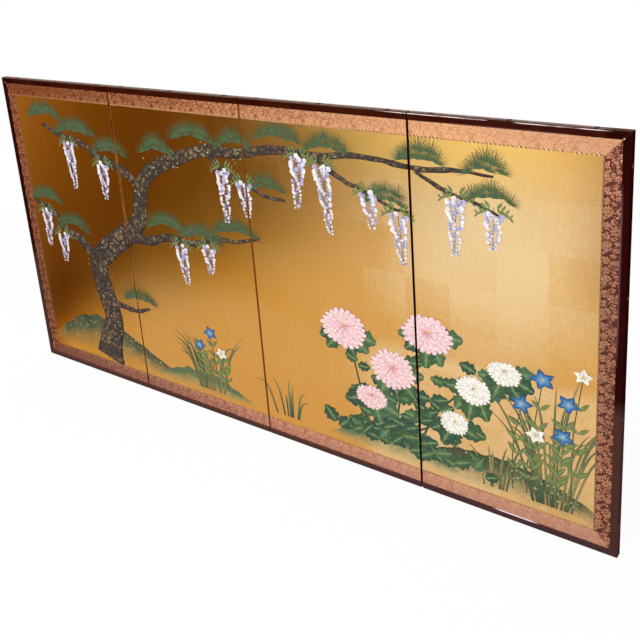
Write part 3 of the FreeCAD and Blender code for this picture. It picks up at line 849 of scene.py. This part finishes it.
# Painted sheen: the top and bottom strips take paler threads than the upright strips.
threads = []
for up, top, foot in zip(UPRIGHT_THREADS, TOP_SHEEN_THREADS, FOOT_SHEEN_THREADS):
    threads.append(blend_of(upright, blend_of(high, foot, top), up))
bloom, shade, ground = threads
across = 1.0 - upright
# Painted sheen: on the top and bottom strips the pattern washes towards the bloom colour to the right.
cloth_sheen = across * share_of(x, CLOTH_SHEEN_FROM, CLOTH_SHEEN_TO, high=CLOTH_SHEEN_SHARE, kind="SMOOTHSTEP")
bloom = blend_of(pink * (1.0 - cloth_sheen), bloom, PINK_THREAD, mode="MULTIPLY")
cloth = blend_of(marks * 0.8, bloom, shade)
cloth = blend_of(calc("MAXIMUM", ground_share, veins), cloth, shade)
dark_part = calc("MAXIMUM", bare_ground, calc("MAXIMUM", seed, strokes))
cloth = blend_of(dark_part, cloth, ground)
cloth = blend_of(cloth_sheen, cloth, bloom)
# Painted shade: the cloth darkens towards the left end, at the right end of the top and bottom strips, and
# down the right strip.
in_left_shade = share_of(x, LEFT_END + LEFT_FADE, LEFT_END)
left_shade = blend_of(upright, LEFT_SHADE, LEFT_SIDE_SHADE)
cloth = blend_of(in_left_shade, cloth, left_shade, mode="MULTIPLY")
at_end_shade = share_of(x, END_FROM, END_TO) * across * (high * 0.7 + 0.3)
cloth = blend_of(at_end_shade, cloth, END_SHADE, mode="MULTIPLY")
at_right_shade = share_of(z, RIGHT_HIGH, RIGHT_HIGH - RIGHT_FADE) * share_of(z, 0.0, 0.4, 0.3)
at_right_shade *= upright * (x > 0.0)
cloth = blend_of(at_right_shade, cloth, RIGHT_SHADE, mode="MULTIPLY")
weft = grain(object_place(tree, (1, 1, 2)), 260, 3.0, 0.7)
cloth = blend_of(weft * 0.2, cloth, shade)
surface(shader, cloth, weft * 0.5 + (1.0 - bare_ground), 0.25 * MM)
dress(brocade, "brocade", "brocade_left", "brocade_right", "brocade_top_%d", "brocade_bottom_%d")

# Edging: a narrow woven braid between the brocade and the picture, in white, gold and black.
# Its stitches lie aslant, and it hides the raw edge of the silk.

EDGING_GOLD, EDGING_BLACK = colour(190, 136, 82), colour(42, 28, 20)
EDGING_WHITE, EDGING_DULL = colour(252, 226, 172), colour(190, 148, 112)
EDGING_SHADE_LEFT, EDGING_RIGHT = (0.55, 0.42, 0.25, 1), (0.56, 0.54, 0.55, 1)
STITCH = 9.0 * MM
PALE_STITCHES = (0.45, 0.75, 0.35)
BRAID_SHADE_FROM = -0.2

edging, tree, shader = material("woven_edging", Roughness=0.6)
x, _, z = split(object_place(tree))
on_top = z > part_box("picture_1")[1].z
pale = blend_of(on_top, EDGING_DULL, EDGING_WHITE)
aslant = calc("FRACT", (x + z) / STITCH)
dark_part = ramp(aslant, (0.5, 0.0), (0.56, 1.0), (0.9, 1.0), (0.96, 0.0))
pale_part = ramp(aslant, (0.06, 0.0), (0.14, 1.0), (0.36, 1.0), (0.44, 0.0))
pale_part *= share_of(x, *PALE_STITCHES)
rubbed = ramp(grain(object_place(tree), 55), (0.36, 0.1), (0.62, 0.9))
braid = blend_of(pale_part * rubbed, EDGING_GOLD, pale)
braid = blend_of(dark_part * rubbed, braid, EDGING_BLACK)
# Painted shade: the braid darkens towards the left end.
in_left_shade = share_of(x, BRAID_SHADE_FROM, LEFT_END)
braid = blend_of(in_left_shade, braid, EDGING_SHADE_LEFT, mode="MULTIPLY")
on_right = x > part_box("picture_4")[1].x
braid = blend_of(on_right, braid, EDGING_RIGHT, mode="MULTIPLY")
twill = calc("PINGPONG", x - z, STITCH / 8) * (8 / STITCH)
surface(shader, braid, twill, 0.3 * MM)
dress(edging, "woven_edging", "edging_%d")

# Hinge papers: strips of tough paper pasted on the panel edges and lapped over the front, gilded
# at the first seam over the picture, rubbed brown at the second and almost black at the third.

GILT_PAPER, DARK_PAPER = colour(128, 82, 24), colour(26, 3, 1)
PAPER_BROWN, PAPER_RUBBED, PAPER_WEAR = colour(84, 34, 12), colour(108, 62, 20), colour(110, 74, 44)
GILT_EDGE, GILT_GAP = colour(176, 128, 66), colour(34, 14, 2)
BETWEEN_SEAMS = 0.1
hinge_slots = {"1_right": "hinge_paper_gold", "2_left": "hinge_paper_gold"}

hinge_finishes = {}
for slot, shade in (("hinge_paper_gold", GILT_PAPER), ("hinge_paper_dark", DARK_PAPER)):
    hinge_finishes[slot], tree, shader = material(slot, Roughness=0.8, Specular_IOR_Level=0.0)
    x, _, z = split(object_place(tree))
    fibres = paper_fibres(tree)
    if slot == "hinge_paper_gold":
        bordered = abs(z - middle_z) > inner_rise
        gap_low, gap_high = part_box("hinge_papers_1_right")[0].x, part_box("hinge_papers_2_left")[1].x
        off_gap = abs(x - (gap_low + gap_high) / 2) / ((gap_high - gap_low) / 2)
        off_gap += grain(object_place(tree), 14, 3.0) * 1.2 - 0.6
        gilt = ramp(off_gap, (0.5, GILT_GAP), (0.95, GILT_EDGE), (0.72, shade))
        sheet = blend_of(bordered, gilt, PAPER_BROWN)
    else:
        sheet = blend_of(x < BETWEEN_SEAMS, shade, PAPER_RUBBED)
    worn = ramp(fibres, (0.5, 0.0), (0.8, 1.0)) * 0.2
    surface(shader, blend_of(worn, sheet, PAPER_WEAR), fibres, 0.08 * MM)
for edge in ("1_right", "2_left", "2_right", "3_left", "3_right", "4_left"):
    slot = hinge_slots.get(edge, "hinge_paper_dark")
    dress(hinge_finishes[slot], slot, "hinge_papers_" + edge)

# Frame: cypress strips in dark red-brown lacquer, mitred at the corners of the screen and
# stopped short at each seam. The lacquer is chipped where strips meet. Its top faces carry dust and a
# painted sheen, its front arris a painted highlight and its lower part a painted reflection; painted
# lilac sheens and a glint lie along inner edges, and it is darker round the nails.

LACQUER, LACQUER_WARM, LACQUER_LOW_SHEEN = colour(30, 0, 0), colour(58, 20, 8), colour(72, 44, 40)
DUST_AND_SHEEN, CORNER_BROWN, BARE_WOOD = colour(172, 152, 138), colour(84, 56, 32), colour(212, 168, 138)
ARRIS_HIGHLIGHT, OPEN_MITRE, NAIL_DARKENING = colour(228, 208, 208), colour(104, 72, 58), colour(10, 3, 2)
STILE_SHEEN, SHEEN_WIDTH, SHEEN_TOP, SHEEN_FOOT = colour(112, 70, 80), 4.6 * MM, (0.82, 0.77), (0.43, 0.52)
RAIL_SHEEN_AT, RAIL_SHEEN_REACH = 0.67, 0.16
HIGHLIGHT_GAP, GAP_HALF, GAP_END = 0.664, 0.024, 0.034
FOOT_SHEEN_RED, FOOT_SHEEN_GREY, FOOT_SHEEN_VIOLET = colour(98, 46, 36), colour(73, 51, 46), colour(70, 46, 47)
LOW_SHEEN_BELOW, LOW_SHEEN_FADE, VIOLET_SHEEN_REACH = 0.37, 0.04, (0.1, 0.5)
HIGHLIGHT_FROM, HIGHLIGHT_TO, HIGHLIGHT_FADE, CORNER_FADE = 0.41, 0.868, 0.03, 0.014
ARRIS_UP, ARRIS_BACK = (-2.6 * MM, -1.1 * MM), 1.0 * MM
BEVEL_WIDTH = 1.4 * MM
NAIL_MARGIN, DARKENING_REACH, DARKENING_SLENDER = 50 * MM, 5.8 * MM, 0.65
GLINT, GLINT_MIDDLE, GLINT_REACH = colour(228, 212, 226), 0.692, 0.055
MITRE_WIDTH = 0.3 * MM
CHIPS = (
    (900.0, 899.8, 1.5), (901.6, 901.2, 1.1), (-900.4, 900.4, 1.5), (460.3, 2.5, 1.8),
    (3.2, 1.5, 1.4), (-455, 1.5, 1.6),
)

lacquer, tree, shader = material("lacquer", Roughness=0.38, Coat_Roughness=0.08, Specular_IOR_Level=0.0)
place = object_place(tree)
x, y, z = split(place)
rail_low, rail_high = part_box("top_rail_4")
side = abs(x)

# Painted reflection: the lacquer is paler and greyer below a height.
low_sheen = share_of(z, LOW_SHEEN_BELOW, LOW_SHEEN_BELOW - LOW_SHEEN_FADE)
warm = grain(place, 16, 4.0) * ((side < strip_low.x) * 0.9 + 0.4)
finish = blend_of(warm, LACQUER, LACQUER_WARM)
finish = blend_of(low_sheen, finish, LACQUER_LOW_SHEEN)
past_side = side - strip_high.x
past_end = abs(z - middle_z) - (strip_high.z - middle_z)
# Painted reflection: the bottom rail's front is red-brown along its upper part, grey-brown below, and violet
# towards the right.
lower_part = ramp(z / strip_low.z, (0.62, 1.0), (0.82, 0.0))
foot = blend_of(lower_part, FOOT_SHEEN_RED, FOOT_SHEEN_GREY)
foot = blend_of(share_of(x, *VIOLET_SHEEN_REACH), foot, FOOT_SHEEN_VIOLET)
finish = blend_of((z < strip_low.z) * (past_end > past_side), finish, foot)

_, _, facing = split(add(tree, "NewGeometry")["Normal"])
# Dust and painted sheen: faces that look up are pale grey, more so towards the back, and brown near the right
# corner; on the left the grey also runs over the front arris.
started = share_of(x, HIGHLIGHT_FROM - HIGHLIGHT_FADE, HIGHLIGHT_FROM + HIGHLIGHT_FADE)
over_arris = ramp(facing, (0.3, 0.0), (0.6, 1.0))
upward = blend_of(started, over_arris, ramp(facing, (0.9, 0.0), (1.0, 1.0)))
at_corner = share_of(x, HIGHLIGHT_TO - CORNER_FADE, HIGHLIGHT_TO + CORNER_FADE)
backward = share_of(y, rail_low.y, rail_high.y, 0.15, 1.1)
patchy = calc("MULTIPLY_ADD", grain(place, 60, 4.0, 0.7), 1.2, 0.1, clamp=True)
dust_and_sheen = blend_of(calc("MULTIPLY", backward, patchy, clamp=True), LACQUER_WARM, DUST_AND_SHEEN)
finish = blend_of(upward, finish, blend_of(at_corner, dust_and_sheen, CORNER_BROWN))
# The upward faces are darker round each nail head.
off_nail = 9.0
for panel in PANELS:
    core_low, core_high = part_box("core_frame_%d" % panel)
    for nail_x in (core_low.x + NAIL_MARGIN, (core_low.x + core_high.x) / 2, core_high.x - NAIL_MARGIN):
        off_nail = calc("MINIMUM", off_nail, abs(x - nail_x))
off_line = (y - (core_low.y + core_high.y) / 2) * DARKENING_SLENDER
darkened_round_nail = ramp(distance(off_nail, off_line) / DARKENING_REACH, (0.8, 1.0), (1.0, 0.0))
finish = blend_of(darkened_round_nail * upward, finish, NAIL_DARKENING)

# Painted highlight: a pale line along the front arris of the top rail towards the right, broken in places and
# stopped near a nail; the coat is also thicker there.
below_top = z - rail_high.z
highlit_arris = (below_top > ARRIS_UP[0]) * (below_top < ARRIS_UP[1]) * (y < rail_low.y + ARRIS_BACK)
highlit_arris *= started * (1.0 - at_corner) * share_of(abs(x - HIGHLIGHT_GAP), GAP_HALF, GAP_END)
worn = ramp(grain(object_place(tree, (1, 8, 8)), 24, 3.0), (0.34, 0.12), (0.58, 1.0))
finish = blend_of(highlit_arris * worn, finish, ARRIS_HIGHLIGHT)

at_bevel = calc("MAXIMUM", past_side, past_end) < BEVEL_WIDTH
sheen = share_of(past_side, SHEEN_WIDTH, 0.4 * SHEEN_WIDTH) * (x > strip_high.x)
sheen *= share_of(z, *SHEEN_TOP) * share_of(z, *SHEEN_FOOT)
over_end = share_of(past_end, 0.8 * SHEEN_WIDTH, 0.2 * SHEEN_WIDTH) * (z > strip_high.z)
over_end *= share_of(abs(x - RAIL_SHEEN_AT), RAIL_SHEEN_REACH, 0.6 * RAIL_SHEEN_REACH)
on_front = y < rail_low.y + 2 * BEVEL_WIDTH
sheen = calc("MAXIMUM", sheen, over_end * 0.6) * on_front
finish = blend_of(sheen * 0.85, finish, STILE_SHEEN)
glint = share_of(abs(x - GLINT_MIDDLE), GLINT_REACH, 0.6 * GLINT_REACH) * at_bevel
finish = blend_of(glint * (z < BEVEL_WIDTH + strip_low.z) * on_front, finish, GLINT)
at_mitre = calc("COMPARE", past_side, past_end, MITRE_WIDTH)
finish = blend_of(at_mitre * 0.45, finish, OPEN_MITRE)

chipped = 0.0
for chip_x, chip_z, radius in CHIPS:
    off = distance(x - chip_x * MM, z - chip_z * MM) / (radius * MM)
    off += grain(place, 500) * 1.2 - 0.6
    chipped = calc("MAXIMUM", chipped, off < 1.0)
off_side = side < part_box("right_stile")[1].x - BEVEL_WIDTH / 4
surface(shader, blend_of(chipped, finish, BARE_WOOD), grain(place, 90), 0.02 * MM)
feed(shader, {"Coat Weight": (highlit_arris * 0.5 + 0.035) * off_side})
dress(lacquer, "lacquered_wood", "left_stile", "right_stile", "top_rail_%d", "bottom_rail_%d")

# Frame nails: round iron heads, blackened, in the outer edge of the strips.
# They hold the strips to the core, and rust has roughened them.

iron, tree, shader = material("black_iron", Metallic=0.6, Roughness=0.5)
rust = grain(object_place(tree), 900)
feed(shader, {"Base Color": blend_of(rust, colour(16, 11, 10), colour(44, 32, 26))})
dress(iron, "frame_nail", "frame_nails_%d")

# Studio: a pale floor that fades into a white surround, a dark card that only reflections see,
# soft lamps above, and the camera at the photograph's place.

FLOOR_REACH = 30.0
FADE_START, FADE_END = 1.3, 2.6
FLOOR_PALE = 0.95

bm = bmesh.new()
bmesh.ops.create_circle(bm, cap_ends=True, radius=FLOOR_REACH, segments=96)
floor = put("floor", mesh_of("floor", bm))
FLOOR_WHITE = (0.86, 0.86, 0.86, 1)
white_floor, tree, shader = material(
    "white_floor", Base_Color=FLOOR_WHITE, Roughness=0.9, Specular_IOR_Level=0.0
)
from_centre = add(tree, "VectorMath", {0: object_place(tree)}, operation="LENGTH")["Value"]
far = share_of(from_centre, FADE_START, FADE_END, kind="SMOOTHSTEP")
glow = add(tree, "Emission", {"Color": (1, 1, 1, 1), "Strength": 1.0})["Emission"]
bright = calc("MAXIMUM", far, add(tree, "LightPath")["Is Camera Ray"] * FLOOR_PALE)
mixed = add(tree, "MixShader", {0: bright, 1: Signal(shader.outputs[0]), 2: glow})["Shader"]
feed(tree.nodes["Material Output"], {"Surface": mixed})
floor.data.materials.append(white_floor)

world = bpy.data.worlds.new("surround")
bpy.context.scene.world = world
world.use_nodes = True
tree = world.node_tree
rays = add(tree, "LightPath")
seen = calc("MAXIMUM", rays["Is Camera Ray"], rays["Is Glossy Ray"])
strength = calc("MAXIMUM", seen, rays["Is Transmission Ray"]) * 0.4 + 0.6
feed(tree.nodes["Background"], {"Color": (1, 1, 1, 1), "Strength": strength})

CARD_FOOT = ((-0.925, -0.03), (-0.88, -0.5), (-0.72, -1.1), (-0.68, -1.8), (-1.0, -3.0))
CARD_HEIGHT = 3.2
FOOT_WARM, FOOT_PALE, FOOT_DARK = (0.6, 0.30, 0.06, 1), (0.72, 0.72, 0.70, 1), (0.25, 0.25, 0.28, 1)
FOOT_STOPS = (0.0, FOOT_WARM), (0.12, FOOT_PALE), (0.25, FOOT_DARK), (0.37, FOOT_DARK), (0.5, FOOT_PALE)
bm = bmesh.new()
foot = [bm.verts.new((*corner, 0.002)) for corner in CARD_FOOT]
edges = [bm.edges.new(pair) for pair in zip(foot, foot[1:])]
top = bmesh.ops.extrude_edge_only(bm, edges=edges)["geom"]
bmesh.ops.translate(bm, verts=[v for v in top if isinstance(v, bmesh.types.BMVert)], vec=(0, 0, CARD_HEIGHT))
card = put("dark_card", mesh_of("dark_card", bm))
card_finish, tree, shader = material("dark_card")
_, forward, high = split(object_place(tree))
near = share_of(forward, -0.5, 0.0, kind="SMOOTHSTEP")
lit = near * share_of(high, 0.2, 0.9)
warm = blend_of(lit, (0.13, 0.05, 0.0, 1), (0.46, 0.3, 0.1, 1))
along = share_of(forward, 0.0, CARD_FOOT[-1][1])
reach = ramp(along, (0.0, 0.12), (0.12, 0.2), (0.22, 0.3), (0.33, 0.28), (0.5, 1.0))
low = calc("SMOOTH_MIN", high / reach, 1.0, 0.4)
graded = blend_of(low, ramp(along, *FOOT_STOPS), warm)
glow = add(tree, "Emission", {"Color": graded, "Strength": 1.0})["Emission"]
feed(tree.nodes["Material Output"], {"Surface": glow})
card.data.materials.append(card_finish)
card.visible_camera = card.visible_diffuse = card.visible_shadow = False


def lamp(name, place, aim, size, watts):
    """A soft rectangular lamp that points at a spot."""
    data = bpy.data.lights.new(name, "AREA")
    data.shape, data.size, data.size_y = "RECTANGLE", *size
    data.energy = watts
    made = put(name, data)
    made.location = place
    made.rotation_euler = (Vector(aim) - Vector(place)).to_track_quat("-Z", "Y").to_euler()


lamp("overhead", (-1.4, -1.3, 3.0), (0, 0, 0.5), (3.4, 1.6), 45)
lamp("front", (1.4, -3.2, 2.4), (0.2, -0.2, 0.4), (2.2, 2.2), 40)
lamp("floor_light", (0.1, -1.3, 2.6), (0.1, -1.2, 0), (1.2, 1.2), 14)

CAMERA_PLACE = Vector((1.3832, -1.5849, 1.3626))
CAMERA_AIM = Vector((0.1305, -0.0073, 0.7160))
CAMERA_ROLL = -4.882
camera_data = bpy.data.cameras.new("camera")
camera_data.lens, camera_data.sensor_width = 50.75, 36.0
camera_data.shift_x, camera_data.shift_y = 0.05, -0.2125
camera = put("camera", camera_data)
look = (CAMERA_AIM - CAMERA_PLACE).to_track_quat("-Z", "Y").to_matrix().to_4x4()
camera.matrix_world = (
    Matrix.Translation(CAMERA_PLACE) @ look @ Matrix.Rotation(math.radians(CAMERA_ROLL), 4, "Z")
)
bpy.context.scene.camera = camera

bpy.context.scene.view_settings.view_transform = "Standard"
